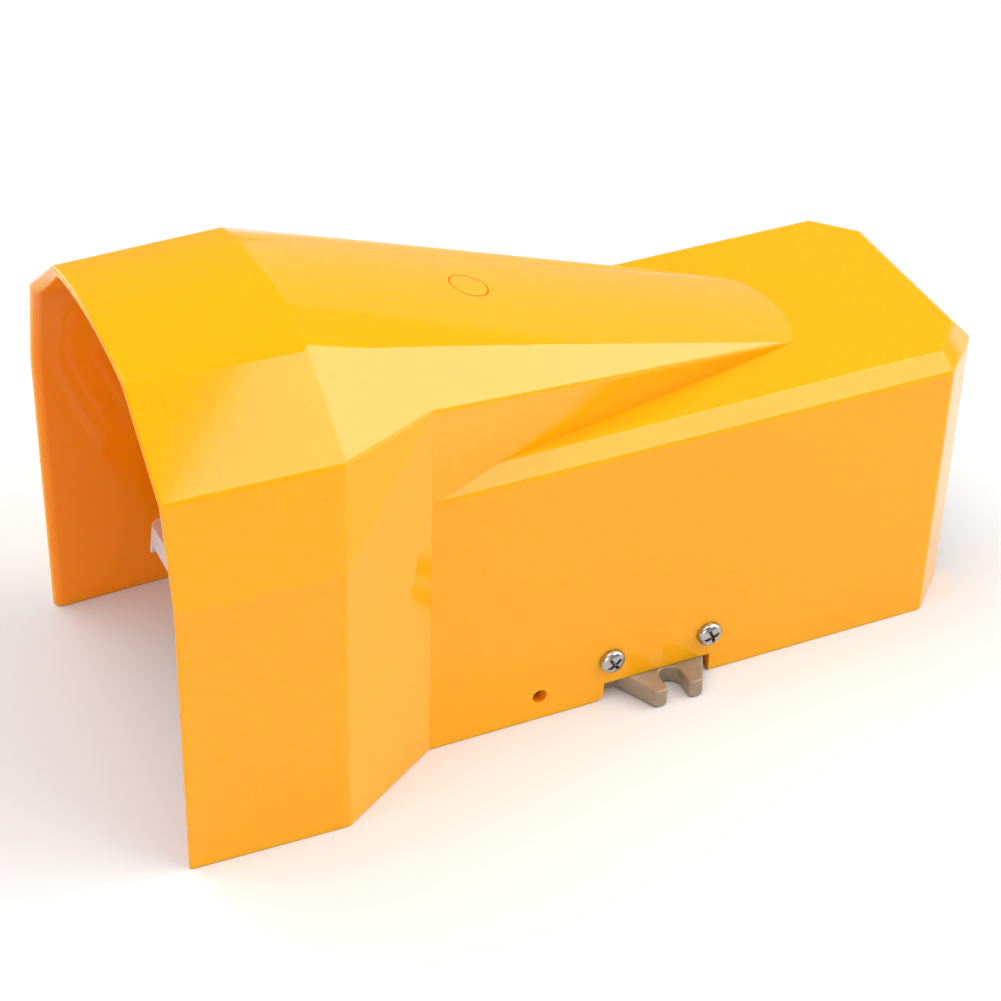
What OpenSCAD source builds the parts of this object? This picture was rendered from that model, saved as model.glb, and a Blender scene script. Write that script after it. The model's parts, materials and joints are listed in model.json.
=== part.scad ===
// Guarded pneumatic foot valve: a five-port, two-position valve worked by a pedal under a moulded hood.
// +X is the user's right, the foot goes in from -Y, the ports face +Y, and Z is zero at the floor.
// Lengths named "_l" along the cover are measured from its open rim unless the comment says otherwise.

/* [Cover] */
// Overall length, rim to rear face
cover_l = 244; // [236:1:256]
// Width of the hood at its open rim
rim_w = 119; // [114:0.5:121]
// Width of the hood at its side crease, its widest place
crease_w = 121.5; // [119:0.5:128]
// Width of the rear box
rear_w = 83; // [80:0.5:92]
// Wall thickness of the moulding
cover_wall = 3.5; // [2.5:0.1:4]

/* [Hood] */
// Rim to the side crease, at the foot of the wall
hood_l = 44; // [36:1:50]
// How much further back the crease lies at shoulder height
crease_rake = 2.5; // [1:0.1:4]
// Rim to the neck, where the hood meets the rear box
neck_l = 75; // [70:1:84]
// Height of the kink in the side wall
kink_h = 85.5; // [78:0.5:92]
// Height of the shoulder, where the wall turns into the sloping facet
shoulder_h = 113; // [108:0.5:118]
// How far the wall leans in between kink and shoulder
shoulder_lean = 6.8; // [4:0.1:10]
// Width across the two brow edges at the rim
brow_w = 56.5; // [48:0.5:64]
// Height of the crown of the hood, the highest point of the part
crown_h = 136.5; // [132:0.5:142]
// Radius of the crowned top, seen from the front
crown_r = 110; // [90:1:150]
// Width across the two tips of the ridge, where its edges run out on the rear box
ridge_tip_w = 36.5; // [30:0.5:44]
// Rim to the tips of the ridge
ridge_tip_l = 191.5; // [182:0.5:200]
// Rim to the point where the crown of the ridge sinks into the rear box
ridge_nose_l = 197.5; // [190:0.5:206]
// Diameter of the round mould mark on the ridge
mark_d = 11.3; // [8:0.1:16]
// Rim to the middle of the mould mark
mark_l = 103; // [90:1:120]
// Width and depth of the mould mark's fine groove
mark_groove = 0.5; // [0.3:0.1:0.8]

/* [Rear box] */
// Height of the flat top
rear_h = 88.3; // [87.5:0.1:96]
// Bevel round the flat top, equal in plan and in height
bevel = 4.8; // [3:0.1:7]
// Cut across each rear corner, measured along the side
corner_cut = 13.5; // [10:0.5:14]
// Width of the window for the ports in the rear wall
window_w = 52; // [51:0.5:55]
// Height of the window for the ports
window_h = 80; // [79.5:0.1:82]

/* [Fixings] */
// Nominal diameter of all the machine screws
screw_d = 4; // [3.5:0.1:4.2]
// Diameter of the pan heads
pan_head_d = 7.4; // [7:0.1:9]
// Height of the pan heads
pan_head_h = 2.6; // [2:0.1:3.2]
// Radial clearance of a screw in a plain hole
screw_clear = 0.15; // [0.1:0.05:0.3]
// Radial clearance of a screw's shank in its tapped hole
tap_clear = 0.05; // [0.02:0.01:0.1]
// Distance between the two cover screws of one side
cover_screw_pitch = 30.3; // [26:0.1:36]
// Height of the cover screws
cover_screw_h = 14; // [12:0.5:16]
// Rear face to the middle of the cover screws
cover_screw_back = 99.3; // [96:0.1:103]
// Diameter of the small plain hole in each side
side_hole_d = 4.3; // [3:0.1:6]
// Height of the small side hole
side_hole_h = 8; // [6:0.5:12]
// Rear face to the small side hole
side_hole_back = 136; // [130:1:142]

/* [Lugs] */
// Width over both lugs
lug_span = 101; // [98:0.5:110]
// Thickness of a lug
lug_t = 5.7; // [4.5:0.1:7]
// Width of the open slot for the fixing bolt
slot_w = 6.6; // [5:0.1:7.5]
// Rear face to the middle of the slots
slot_back = 97.1; // [95:0.1:100]
// Width of a lug across both prongs at its outer end
lug_tip_w = 14.4; // [12:0.1:18]
// Width of a lug where it comes out of the cover
lug_root_w = 23.8; // [20:0.1:26]
// Radius of the corners at the outer ends of the prongs
lug_round = 1.6; // [0.8:0.1:2]
// Height left between a lug and the top of the notch that it comes out of
notch_gap = 0.3; // [0.2:0.1:1]
// Length of the notch left open in front of the lug
notch_front_gap = 7.3; // [4:0.1:8]
// Length of the notch left open behind the lug
notch_rear_gap = 2; // [0.4:0.1:3]

/* [Base] */
// Thickness of the base's floor
floor_t = 5; // [4:0.1:6]
// Depth of the pockets cored out of the floor's underside
core_d = 2; // [1:0.1:3]
// Rim to the front edge of the base
base_front_l = 40; // [36:1:46]
// Radius of the base's front corners
base_round = 8; // [4:0.5:12]
// Fitting gap between the base and the inside of the cover
base_gap = 0.2; // [0.1:0.05:0.4]
// Thickness of the ears that take the cover screws
ear_t = 4.4; // [3.5:0.1:5.5]
// Height of the ears
ear_h = 21; // [18:0.5:24]
// Thickness of the two posts that carry the pivot pin
post_t = 7; // [5:0.5:9]

/* [Pedal] */
// Width of the tread
pedal_w = 72; // [60:1:74]
// Rim to the front edge of the tread
pedal_front_l = 23; // [20:0.5:32]
// Height of the tread's front edge at rest
pedal_front_h = 39.9; // [37:0.1:42]
// Depth of the full-width tread, front to back
tread_l = 76; // [60:1:78]
// Radius of the tread's corners
tread_round = 4.5; // [3:0.5:8]
// Thickness of the tread plate
pedal_t = 5; // [4:0.5:6]
// Width of the neck and its pivot boss
neck_w = 28; // [26:0.5:30]
// Outer diameter of the pivot boss
boss_d = 20; // [18:0.5:22]
// Height of the pivot pin above the floor
pivot_h = 18; // [17.5:0.1:19]
// Pivot pin to the plunger's axis, along the part
lever_l = 39; // [37:0.5:41]
// Turn of the pedal from rest to fully pressed, in degrees
pedal_turn = 8; // [6:0.5:8]
// Diameter of the pivot pin
pin_d = 8; // [7:0.5:9]
// Radial running clearance of the pin in its bushes
pin_clear = 0.05; // [0.02:0.01:0.1]
// Wall of the pivot bushes
bush_wall = 2; // [1.5:0.1:2.5]
// Diameter of the contact pin in the rear arm
contact_d = 8; // [7:0.5:9]
// Pitch of the ribs across the tread
rib_pitch = 8.5; // [6:0.5:12]

/* [Valve] */
// Width of the valve body
valve_w = 50; // [49:0.5:50.5]
// Depth of the valve, housing and port block together
valve_d = 35.5; // [35:0.5:38]
// Height of the valve body
valve_h = 53; // [52.5:0.1:53]
// Height of its seat on the base
seat_h = 26; // [25.5:0.1:26.2]
// Depth of the port face behind the cover's rear face
port_recess = 2.5; // [2:0.1:3]
// Tapping diameter of the five G1/4 ports
port_d = 11.8; // [11:0.1:12]
// Thickness of the port block, which the ports go right through
port_block_t = 10; // [9:0.5:11]
// Distance between ports of one column
port_pitch = 18; // [17.6:0.1:18.2]
// Distance between the two columns of ports
port_columns = 24; // [22:0.5:24]
// Diameter of the spool's bore
bore_d = 14; // [13:0.1:15]
// Port face to the spool's axis
spool_back = 22.5; // [22:0.1:23.5]
// Radial clearance of the spool in its bore
spool_clear = 0.05; // [0.02:0.01:0.1]
// Diameter of the plunger
plunger_d = 8; // [7:0.1:8.4]
// Thickness of the top cap
cap_t = 4; // [3.5:0.1:4.3]
// Thickness of the gaskets under the cap and the port block
gasket_t = 0.8; // [0.5:0.1:1]

/* [Hidden] */
$fn = 64;

// Overshoot of a cut past the face that it opens, and a length longer than the part
cut = 1;
reach = 2 * cover_l;
// How far small facets stand proud, and the ridge stands in, so that only three faces meet at any corner
hair = 0.03;
ridge_step = 0.5;
// Gap kept between pieces that meet when they move
touch_gap = 0.3;
// Tapping diameter of the machine screws, and the plain shank that stands for their thread
thread_depth = 0.35;
tap_d = screw_d - 2 * thread_depth;
shank_d = tap_d - 2 * tap_clear;
// Depth of a tapped hole past the end of its screw
tap_spare = 1;
// Straight rim of the pan heads below their dome, and the cross recess of all the screws
pan_rim_h = 0.9;
recess_span = 4.3;
recess_w = 1;
recess_depth = 1.2;

// Places along the part
rim_y = -cover_l / 2;
rear_y = cover_l / 2;
crease_y = rim_y + hood_l;
shoulder_y = crease_y + crease_rake;
neck_y = rim_y + neck_l;
ridge_root_y = (shoulder_y + neck_y) / 2;
tip_y = rim_y + ridge_tip_l;
nose_y = rim_y + ridge_nose_l;
mark_y = rim_y + mark_l;
slot_y = rear_y - slot_back;
screw_mid_y = rear_y - cover_screw_back;
side_hole_y = rear_y - side_hole_back;

// Corner points of the hood's right half, from rim to crease to neck to ridge tip
flare = (crease_w - rim_w) / 2;
wall_rim = [rim_w / 2, rim_y, 0];
wall_crease = [crease_w / 2, crease_y, 0];
kink_rim = wall_rim + [0, 0, kink_h];
kink_crease = wall_crease + [0, 0, kink_h];
shoulder_rim = [rim_w / 2 - shoulder_lean, rim_y, shoulder_h];
shoulder_crease = [shoulder_rim.x + flare * (hood_l + crease_rake) / hood_l, shoulder_y, shoulder_h];
brow_rim = [brow_w / 2, rim_y, crown_h - crown_r + sqrt(crown_r ^ 2 - (brow_w / 2) ^ 2)];
brow_crease = on_crown(shoulder_crease, brow_rim - shoulder_rim);
neck_foot = [rear_w / 2, neck_y, 0];
ridge_foot = neck_foot - [ridge_step, 0, 0];
ridge_tip = [ridge_tip_w / 2, tip_y, rear_h];
neck_shoulder = [neck_foot.x, neck_y, plane_z(shoulder_crease, brow_crease, ridge_tip, neck_foot.x, neck_y)];
// Slope of the ridge, in degrees, and a point well inside the cover
ridge_fall = atan2(crown_h - rear_h, nose_y - shoulder_y);
cover_core = [0, neck_y, kink_h / 2];

// The base fits inside the rear box
base_hw = rear_w / 2 - cover_wall - base_gap;
base_rear_y = rear_y - cover_wall - base_gap;
base_front_y = rim_y + base_front_l;
base_corner = corner_cut - (cover_wall + base_gap) * (2 - sqrt(2));
ear_margin = 10;
ear_l = cover_screw_pitch + 2 * ear_margin;
notch_front = lug_root_w / 2 + notch_front_gap;
notch_rear = lug_root_w / 2 + notch_rear_gap;
notch_round = 2.5;

// The valve stands behind its port face, and the pedal's pivot in front of the spool
port_y = rear_y - port_recess;
valve_y = port_y - valve_d;
spool_y = port_y - spool_back;
pivot_y = spool_y - lever_l;
valve_top = seat_h + valve_h;
block_y = port_y - port_block_t;
housing_rear_y = block_y - gasket_t;
ports = 5;
level_pitch = port_pitch / 2;
port_margin = (valve_h - (ports - 1) * level_pitch) / 2;
port_levels = [for (i = [0 : ports - 1]) seat_h + port_margin + i * level_pitch];
spotface_gap = 0.4;
spotface_d = port_pitch - spotface_gap;
spotface_t = 0.6;
passage_d = 5.6;
groove_depth = 1.6;
groove_d = bore_d + 2 * groove_depth;
groove_h = 5;
// Screws of the valve: up from the base, down through the cap, and back through the housing to the block
valve_screw_x = valve_w / 2 - screw_d;
valve_screw_inset = 6.5;
valve_screw_ys = [valve_y + valve_screw_inset, housing_rear_y - valve_screw_inset];
valve_screw_bite = 7;
head_recess = 1.8;
head_sink = pan_head_h + head_recess;
block_screw_rise = 11.5;
block_screw_zs = [seat_h + block_screw_rise, valve_top - block_screw_rise];
cap_inset = 1.5;
cap_screw_edge = 1.5;
cap_screw_x = valve_w / 2 - cap_inset - screw_d - cap_screw_edge;
gasket_relief = 1;
// The valve's seat on the base: a rail on each side of the pedal's arm and a wall behind it
arm_channel_w = 26;
seat_w = 18;
seat_wall = 4;
seat_margin = 1;

// The pedal is drawn about its pivot, then tipped up in front to its rest position
tread_top = 6;
pivot_to_front = pivot_y - (rim_y + pedal_front_l);
front_rise = pedal_front_h - pivot_h;
front_reach = norm([pivot_to_front, front_rise]);
pedal_rise = atan2(front_rise, pivot_to_front) - asin(tread_top / front_reach);
pedal_l = sqrt(front_reach ^ 2 - tread_top ^ 2);
arm_l = lever_l / cos(pedal_rise);
arm_w = 20;
arm_web = 4;
arm_half_h = 5;
neck_web = 4;
neck_half_h = 6;
neck_taper_l = 30;
skirt_t = 3;
skirt_d = 5;
lip_t = 4;
lip_d = 6;
rib_w = 2.4;
rib_h = 1.2;
spring_arm = 80;
spring_od = 16;
spring_wire = 1.8;
spring_turns = 5;
spring_boss_h = 3;
spring_land = 2;
spring_pilot_clear = 0.7;
spring_pilot_d = spring_od - 2 * spring_wire - 2 * spring_pilot_clear;
spring_pilot_h = 2.5;
spring_y = pivot_y - spring_arm;
spring_plate_h = pivot_h + spring_arm * tan(pedal_rise) + (tread_top - pedal_t) / cos(pedal_rise);
spring_seat_h = spring_plate_h - spring_boss_h;
bush_od = pin_d + 2 * pin_clear + 2 * bush_wall;
bush_gap = 2;
flange_t = 1;
flange_w = 2;
flange_d = bush_od + 2 * flange_w;
post_x = neck_w / 2 + flange_t + touch_gap;
post_r = 9;
post_clear = 0.02;
clip_t = 1;
clip_w = 3.5;
clip_d = pin_d + 2 * clip_w;
clip_groove = 0.8;
clip_groove_d = pin_d - 2 * clip_groove;
clip_snap = 1.2;
clip_x = post_x + post_t + touch_gap;
pin_tail = 1;
pin_l = 2 * (clip_x + clip_t + pin_tail);
press_stop_l = 30;
buffer_l = 12;

// Heights of the contact pin at rest and pressed give the stroke of plunger and spool
contact_z = pivot_h - arm_l * sin(pedal_rise);
stroke = arm_l * (sin(pedal_rise) + sin(pedal_turn - pedal_rise));
plunger_z = contact_z + contact_d / 2 + touch_gap;
bush_h = 5.5;
seal_h = 1.6;
seal_wall = 1.5;
seal_gap = 0.03;
spool_lands = 5;
land_t = 4;
spool_l = (spool_lands - 1) * level_pitch + land_t;
spool_z = valve_top + gasket_t - stroke - spool_l - touch_gap;
spool_core_d = 9;
seal_wire = 1.64;
seal_lift = 0.01;
seal_side_gap = 0.1;
seal_groove_d = bore_d - 2 * spool_clear - 2 * seal_wire;
pocket_d = 6.6;
pocket_l = 16;
spool_spring_od = 6.2;
spool_spring_wire = 0.8;
spool_spring_turns = 9;

function unit(v) = v / norm(v);
// Height above (x, y) of the plane through three points
function plane_z(a, b, c, x, y) =
    let (n = cross(b - a, c - a)) a.z - (n.x * (x - a.x) + n.y * (y - a.y)) / n.z;
// Where a line in the plane across the part, from a point below the crown, meets the crown
function on_crown(p, slope) =
    let (d = unit([slope.x, 0, slope.z]),
         o = [p.x, 0, p.z - crown_h + crown_r],
         b = o * d,
         u = -b + sqrt(b ^ 2 - o * o + crown_r ^ 2))
    p + u * d;

module both_sides() {
    children();
    mirror([1, 0, 0]) children();
}

// Solid on the outer side of the plane through three points, with the plane first moved inwards
module beyond(a, b, c, inset) {
    n0 = unit(cross(b - a, c - a));
    n = n0 * (a - cover_core) < 0 ? -n0 : n0;
    translate(a - n * inset)
        rotate([0, acos(n.z), atan2(n.y, n.x)])
            translate([-reach, -reach, 0])
                cube([2 * reach, 2 * reach, reach]);
}

// Long cylinder of the crown, straight over the hood or falling along the ridge
module crown(fall, inset) {
    translate([0, shoulder_y, crown_h])
        rotate([-fall, 0, 0])
            translate([0, -reach, -crown_r])
                rotate([-90, 0, 0])
                    cylinder(r = crown_r - inset, h = 2 * reach, $fn = 180);
}

// Wide front part below the crown: side walls, leaning shoulders and front facets
module hood_form(inset) {
    open = inset > 0 ? cut : 0;
    difference() {
        translate([-crease_w, rim_y - open, -open])
            cube([2 * crease_w, neck_l + rear_w / 2, crown_h + 2 * cut]);
        both_sides() {
            beyond(wall_rim, wall_crease, kink_rim, inset);
            beyond(kink_rim, kink_crease, shoulder_rim, inset);
            beyond(shoulder_rim, shoulder_crease, brow_rim, inset);
            beyond(wall_crease, neck_foot, kink_crease, inset);
            beyond(kink_crease, shoulder_crease, neck_shoulder, inset - hair);
        }
    }
}

// Tapering ridge that runs back from inside the hood, below the crown
module ridge_form(inset) {
    open = inset > 0 ? cut : 0;
    difference() {
        translate([-crease_w, ridge_root_y, -open])
            cube([2 * crease_w, nose_y + cut - ridge_root_y, crown_h + 2 * cut]);
        both_sides()
            beyond(ridge_foot, ridge_foot + [0, 0, rear_h], ridge_tip, inset);
    }
}

// Hood and ridge under their common top: the straight crown, the falling crown and the long facets
module hood_and_ridge(inset) {
    difference() {
        intersection() {
            union() {
                hood_form(inset);
                ridge_form(inset);
            }
            crown(0, inset);
            crown(ridge_fall, inset);
        }
        both_sides()
            beyond(shoulder_crease, brow_crease, ridge_tip, inset);
    }
}

// Rear box with a flat top, a bevel all round it and cut corners
module box_form(inset) {
    open = inset > 0 ? cut : 0;
    half = rear_w / 2;
    low = rear_h - bevel;
    side = [half, rear_y - corner_cut, low];
    back = [half - corner_cut, rear_y, low];
    inner = [half - bevel, rear_y - corner_cut - bevel * tan(22.5), rear_h];
    difference() {
        translate([-half + inset, shoulder_y, -open])
            cube([rear_w - 2 * inset, rear_y - shoulder_y - inset, rear_h - inset + open]);
        beyond([0, rear_y, low], [half, rear_y, low], [0, rear_y - bevel, rear_h], inset);
        both_sides() {
            beyond(side, back, side - [0, 0, low], inset);
            beyond(side, back, inner, inset - hair);
            beyond(side, side - [0, half, 0], inner, inset);
        }
    }
}

module cover_form(inset) {
    hood_and_ridge(inset);
    box_form(inset);
}

// Outline of the lug notch, seen from the side: square above, rounded out to the floor in front
module notch_outline() {
    h = lug_t + notch_gap;
    translate([-notch_front, -cut])
        square([notch_front + notch_rear, h + cut]);
    difference() {
        translate([-notch_front - notch_round, -cut])
            square([notch_round + cut, notch_round + cut]);
        translate([-notch_front - notch_round, notch_round])
            circle(r = notch_round);
    }
}

// A hole along X through both sides of the cover
module side_hole(d, y, z) {
    translate([-crease_w, y, z])
        rotate([0, 90, 0])
            cylinder(d = d, h = 2 * crease_w);
}

module cover() {
    color("#ffb01f")
        difference() {
            cover_form(0);
            cover_form(cover_wall);
            translate([-crease_w, slot_y, 0])
                rotate([90, 0, 90])
                    linear_extrude(2 * crease_w)
                        notch_outline();
            for (s = [-1, 1])
                side_hole(screw_d + 2 * screw_clear, screw_mid_y + s * cover_screw_pitch / 2, cover_screw_h);
            side_hole(side_hole_d, side_hole_y, side_hole_h);
            translate([-window_w / 2, rear_y - cover_wall - cut, -cut])
                cube([window_w, cover_wall + 2 * cut, window_h + cut]);
            translate([0, mark_y, crown_h - (mark_y - shoulder_y) * tan(ridge_fall)])
                rotate([-ridge_fall, 0, 0])
                    translate([0, 0, -2 * mark_groove])
                        difference() {
                            cylinder(d = mark_d, h = 4 * mark_groove);
                            translate([0, 0, -cut])
                                cylinder(d = mark_d - 2 * mark_groove, h = 4 * mark_groove + 2 * cut);
                        }
        }
}

// Cross recess of a screw, cut down from zero
module cross_recess() {
    for (a = [0, 90])
        rotate([0, 0, a])
            translate([-recess_span / 2, -recess_w / 2, -recess_depth])
                cube([recess_span, recess_w, recess_depth + cut]);
}

// Pan-head screw along -Z, with its head's seat at zero and a cross recess
module pan_screw(shank_l) {
    rise = pan_head_h - pan_rim_h;
    dome_r = ((pan_head_d / 2) ^ 2 + rise ^ 2) / (2 * rise);
    difference() {
        intersection() {
            cylinder(d = pan_head_d, h = pan_head_h);
            translate([0, 0, pan_head_h - dome_r])
                sphere(r = dome_r);
        }
        translate([0, 0, pan_head_h])
            cross_recess();
    }
    translate([0, 0, -shank_l])
        cylinder(d = shank_d, h = shank_l);
}

module cover_screws() {
    color("#c9c9c4")
        both_sides()
            for (s = [-1, 1])
                translate([rear_w / 2, screw_mid_y + s * cover_screw_pitch / 2, cover_screw_h])
                    rotate([0, 90, 0])
                        pan_screw(cover_wall + base_gap + ear_t);
}

// What a rounding of radius r takes off the corner p of an outline, between its sides to a and to b
module corner_cut_off(p, a, b, r) {
    u = unit(a - p);
    v = unit(b - p);
    half = acos(u * v) / 2;
    centre = p + unit(u + v) * r / sin(half);
    run = r / tan(half);
    difference() {
        polygon([2 * p - centre, p + u * run, centre, p + v * run]);
        translate(centre)
            circle(r = r);
    }
}

// Plan of the base's floor, rounded in front, with the rear corners cut as the cover's are
module floor_outline() {
    front = [base_hw, base_front_y];
    difference() {
        polygon([
            [-base_hw, base_front_y], front,
            [base_hw, base_rear_y - base_corner], [base_hw - base_corner, base_rear_y],
            [base_corner - base_hw, base_rear_y], [-base_hw, base_rear_y - base_corner]
        ]);
        both_sides()
            corner_cut_off(front, [0, base_front_y], [base_hw, 0], base_round);
    }
}

// Plan of the right lug: two prongs with an open slot between them, tapering outwards from the ear
module lug_outline() {
    tip = [lug_span / 2, lug_tip_w / 2];
    leaving = [rear_w / 2, lug_root_w / 2];
    inner_x = base_hw - ear_t;
    root = tip + (leaving - tip) * (tip.x - inner_x) / (tip.x - leaving.x);
    slot_end = rear_w / 2 + slot_w / 2;
    translate([0, slot_y])
        difference() {
            polygon([[root.x, -root.y], [tip.x, -tip.y], tip, root]);
            translate([slot_end, 0])
                circle(d = slot_w);
            translate([slot_end, -slot_w / 2])
                square([lug_span, slot_w]);
            prong_rounding(root, tip);
            mirror([0, 1, 0])
                prong_rounding(root, tip);
        }
}

// Rounding of both corners at the end of the rear prong, seen from the middle of the slot
module prong_rounding(root, tip) {
    mouth = [tip.x, slot_w / 2];
    corner_cut_off(tip, root, mouth, lug_round);
    corner_cut_off(mouth, tip, [root.x, mouth.y], lug_round);
}

// Upright carrying one end of the pivot pin
module pivot_post() {
    translate([post_x, pivot_y, pivot_h])
        rotate([0, 90, 0])
            cylinder(r = post_r, h = post_t);
    translate([post_x, pivot_y - post_r, floor_t])
        cube([post_t, 2 * post_r, pivot_h - floor_t]);
}

// Raised seat of the valve, kept inside the floor's outline
module valve_seat() {
    seat_y = valve_y - seat_margin;
    intersection() {
        linear_extrude(seat_h)
            floor_outline();
        union() {
            both_sides()
                translate([arm_channel_w / 2, seat_y, 0])
                    cube([seat_w, base_rear_y - seat_y, seat_h]);
            translate([-arm_channel_w / 2 - cut, base_rear_y - seat_wall, 0])
                cube([arm_channel_w + 2 * cut, seat_wall, seat_h]);
        }
    }
}

module base_casting() {
    color("#b39b78")
        difference() {
            union() {
                linear_extrude(floor_t)
                    floor_outline();
                both_sides() {
                    linear_extrude(lug_t)
                        lug_outline();
                    translate([base_hw - ear_t, screw_mid_y - ear_l / 2, 0])
                        cube([ear_t, ear_l, ear_h]);
                    pivot_post();
                }
                valve_seat();
                translate([0, spring_y, 0])
                    cylinder(d = spring_pilot_d, h = floor_t + spring_pilot_h);
            }
            both_sides() {
                translate([base_hw - ear_t - cut, 0, cover_screw_h])
                    for (s = [-1, 1])
                        translate([0, screw_mid_y + s * cover_screw_pitch / 2, 0])
                            rotate([0, 90, 0])
                                cylinder(d = tap_d, h = ear_t + 2 * cut);
            }
            at_valve_screws(valve_screw_x, -cut) {
                cylinder(d = screw_d + 2 * screw_clear, h = seat_h + 2 * cut);
                cylinder(d = pan_head_d + 4 * screw_clear, h = head_sink + cut);
            }
            translate([-crease_w, pivot_y, pivot_h])
                rotate([0, 90, 0])
                    cylinder(d = pin_d + 2 * post_clear, h = 2 * crease_w);
            floor_pockets();
        }
}

// Pockets cored out of the underside, with ribs left between them
module floor_pockets() {
    rim = 5;
    rib = 3;
    bays = 4;
    bay_l = (pivot_y - post_r - base_front_y - rim) / bays;
    bay_w = base_hw - ear_t - rim / 2 - rib / 2;
    both_sides()
        for (i = [0 : bays - 1])
            translate([rib / 2, base_front_y + rim + i * bay_l, -cut])
                cube([bay_w, bay_l - rib, core_d + cut]);
}

// Places children drawn about the pivot, pedal along -Y, in the rest position
module at_rest() {
    translate([0, pivot_y, pivot_h])
        rotate([-pedal_rise, 0, 0])
            children();
}

// Plan of the pedal from its front edge to the pivot, with rounded corners on the tread
module tread_outline() {
    back = -pedal_l + tread_l;
    front_corner = [pedal_w / 2, -pedal_l];
    back_corner = [pedal_w / 2, back];
    neck_corner = [neck_w / 2, back + neck_taper_l];
    difference() {
        polygon([
            [-pedal_w / 2, -pedal_l], front_corner, back_corner, neck_corner, [neck_w / 2, 0],
            [-neck_w / 2, 0], [-neck_w / 2, back + neck_taper_l], [-pedal_w / 2, back]
        ]);
        both_sides() {
            corner_cut_off(front_corner, [0, -pedal_l], back_corner, tread_round);
            corner_cut_off(back_corner, front_corner, neck_corner, tread_round);
        }
    }
}

// Cross ribs that give the shoe a grip
module tread_ribs() {
    inset = 4;
    count = floor((tread_l - 2 * inset) / rib_pitch);
    for (i = [0 : count])
        translate([-pedal_w / 2 + inset, -pedal_l + inset + i * rib_pitch, tread_top - cut])
            cube([pedal_w - 2 * inset, rib_w, cut + rib_h]);
}

// Lip under the front edge of the tread and a skirt down each side, inside the tread's outline
module tread_skirts() {
    plate_z = tread_top - pedal_t;
    intersection() {
        translate([0, 0, plate_z - skirt_d])
            linear_extrude(skirt_d + cut)
                tread_outline();
        union() {
            translate([-pedal_w / 2, -pedal_l, tread_top - lip_d])
                cube([pedal_w, lip_t, lip_d]);
            both_sides()
                translate([pedal_w / 2 - skirt_t, -pedal_l, plate_z - skirt_d])
                    cube([skirt_t, tread_l, skirt_d + cut]);
        }
    }
}

module pedal_solid() {
    translate([0, 0, tread_top - pedal_t])
        linear_extrude(pedal_t)
            tread_outline();
    tread_ribs();
    tread_skirts();
    both_sides() {
        translate([neck_w / 2 - neck_web, -pedal_l + tread_l, -neck_half_h])
            cube([neck_web, pedal_l - tread_l, neck_half_h + tread_top - cut]);
        translate([arm_w / 2 - arm_web, 0, -arm_half_h])
            cube([arm_web, arm_l, 2 * arm_half_h]);
        translate([arm_w / 2 - arm_web, arm_l, 0])
            rotate([0, 90, 0])
                cylinder(r = arm_half_h, h = arm_web);
    }
    translate([-neck_w / 2, 0, 0])
        rotate([0, 90, 0])
            cylinder(d = boss_d, h = neck_w);
}

module pedal() {
    color("#c6c6c8")
        difference() {
            union() {
                at_rest() pedal_solid();
                translate([0, spring_y, spring_seat_h])
                    cylinder(d = spring_od + 2 * spring_land, h = spring_boss_h + pedal_t / 2);
                translate([0, spring_y, spring_seat_h - spring_pilot_h])
                    cylinder(d = spring_pilot_d, h = spring_pilot_h + cut);
            }
            at_rest() {
                translate([-neck_w / 2 - cut, 0, 0])
                    rotate([0, 90, 0])
                        cylinder(d = bush_od, h = neck_w + 2 * cut);
                translate([-arm_w / 2 - cut, arm_l, 0])
                    rotate([0, 90, 0])
                        cylinder(d = contact_d, h = arm_w + 2 * cut);
            }
        }
}

module pivot_pin() {
    color("#d8d8d8")
        translate([-pin_l / 2, pivot_y, pivot_h])
            rotate([0, 90, 0])
                difference() {
                    cylinder(d = pin_d, h = pin_l);
                    both_ends(pin_l)
                        translate([0, 0, pin_l / 2 + clip_x])
                            difference() {
                                cylinder(d = pin_d + cut, h = clip_t);
                                translate([0, 0, -cut])
                                    cylinder(d = clip_groove_d, h = clip_t + 2 * cut);
                            }
                }
}

// Repeats children at the other end of a rod of length l along Z
module both_ends(l) {
    children();
    translate([0, 0, l / 2])
        mirror([0, 0, 1])
            translate([0, 0, -l / 2])
                children();
}

// Open retaining rings in the grooves at the ends of the pivot pin
module pivot_clips() {
    mouth_w = clip_groove_d - clip_snap;
    color("#3c3c3e")
        both_sides()
            translate([clip_x, pivot_y, pivot_h])
                rotate([0, 90, 0])
                    difference() {
                        cylinder(d = clip_d, h = clip_t);
                        translate([0, 0, -cut]) {
                            cylinder(d = clip_groove_d, h = clip_t + 2 * cut);
                            translate([0, -mouth_w / 2, 0])
                                cube([clip_d, mouth_w, clip_t + 2 * cut]);
                        }
                    }
}

// Flanged bushes pressed into both ends of the pedal's boss
module pivot_bushes() {
    sleeve_l = (neck_w - bush_gap) / 2;
    color("#b08d4a")
        at_rest()
            both_sides()
                translate([neck_w / 2 - sleeve_l, 0, 0])
                    rotate([0, 90, 0])
                        difference() {
                            union() {
                                cylinder(d = bush_od, h = sleeve_l);
                                translate([0, 0, sleeve_l])
                                    cylinder(d = flange_d, h = flange_t);
                            }
                            translate([0, 0, -cut])
                                cylinder(r = pin_d / 2 + pin_clear, h = sleeve_l + flange_t + 2 * cut);
                        }
}

module contact_pin() {
    color("#d8d8d8")
        at_rest()
            translate([-arm_w / 2, arm_l, 0])
                rotate([0, 90, 0])
                    cylinder(d = contact_d, h = arm_w);
}

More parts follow.
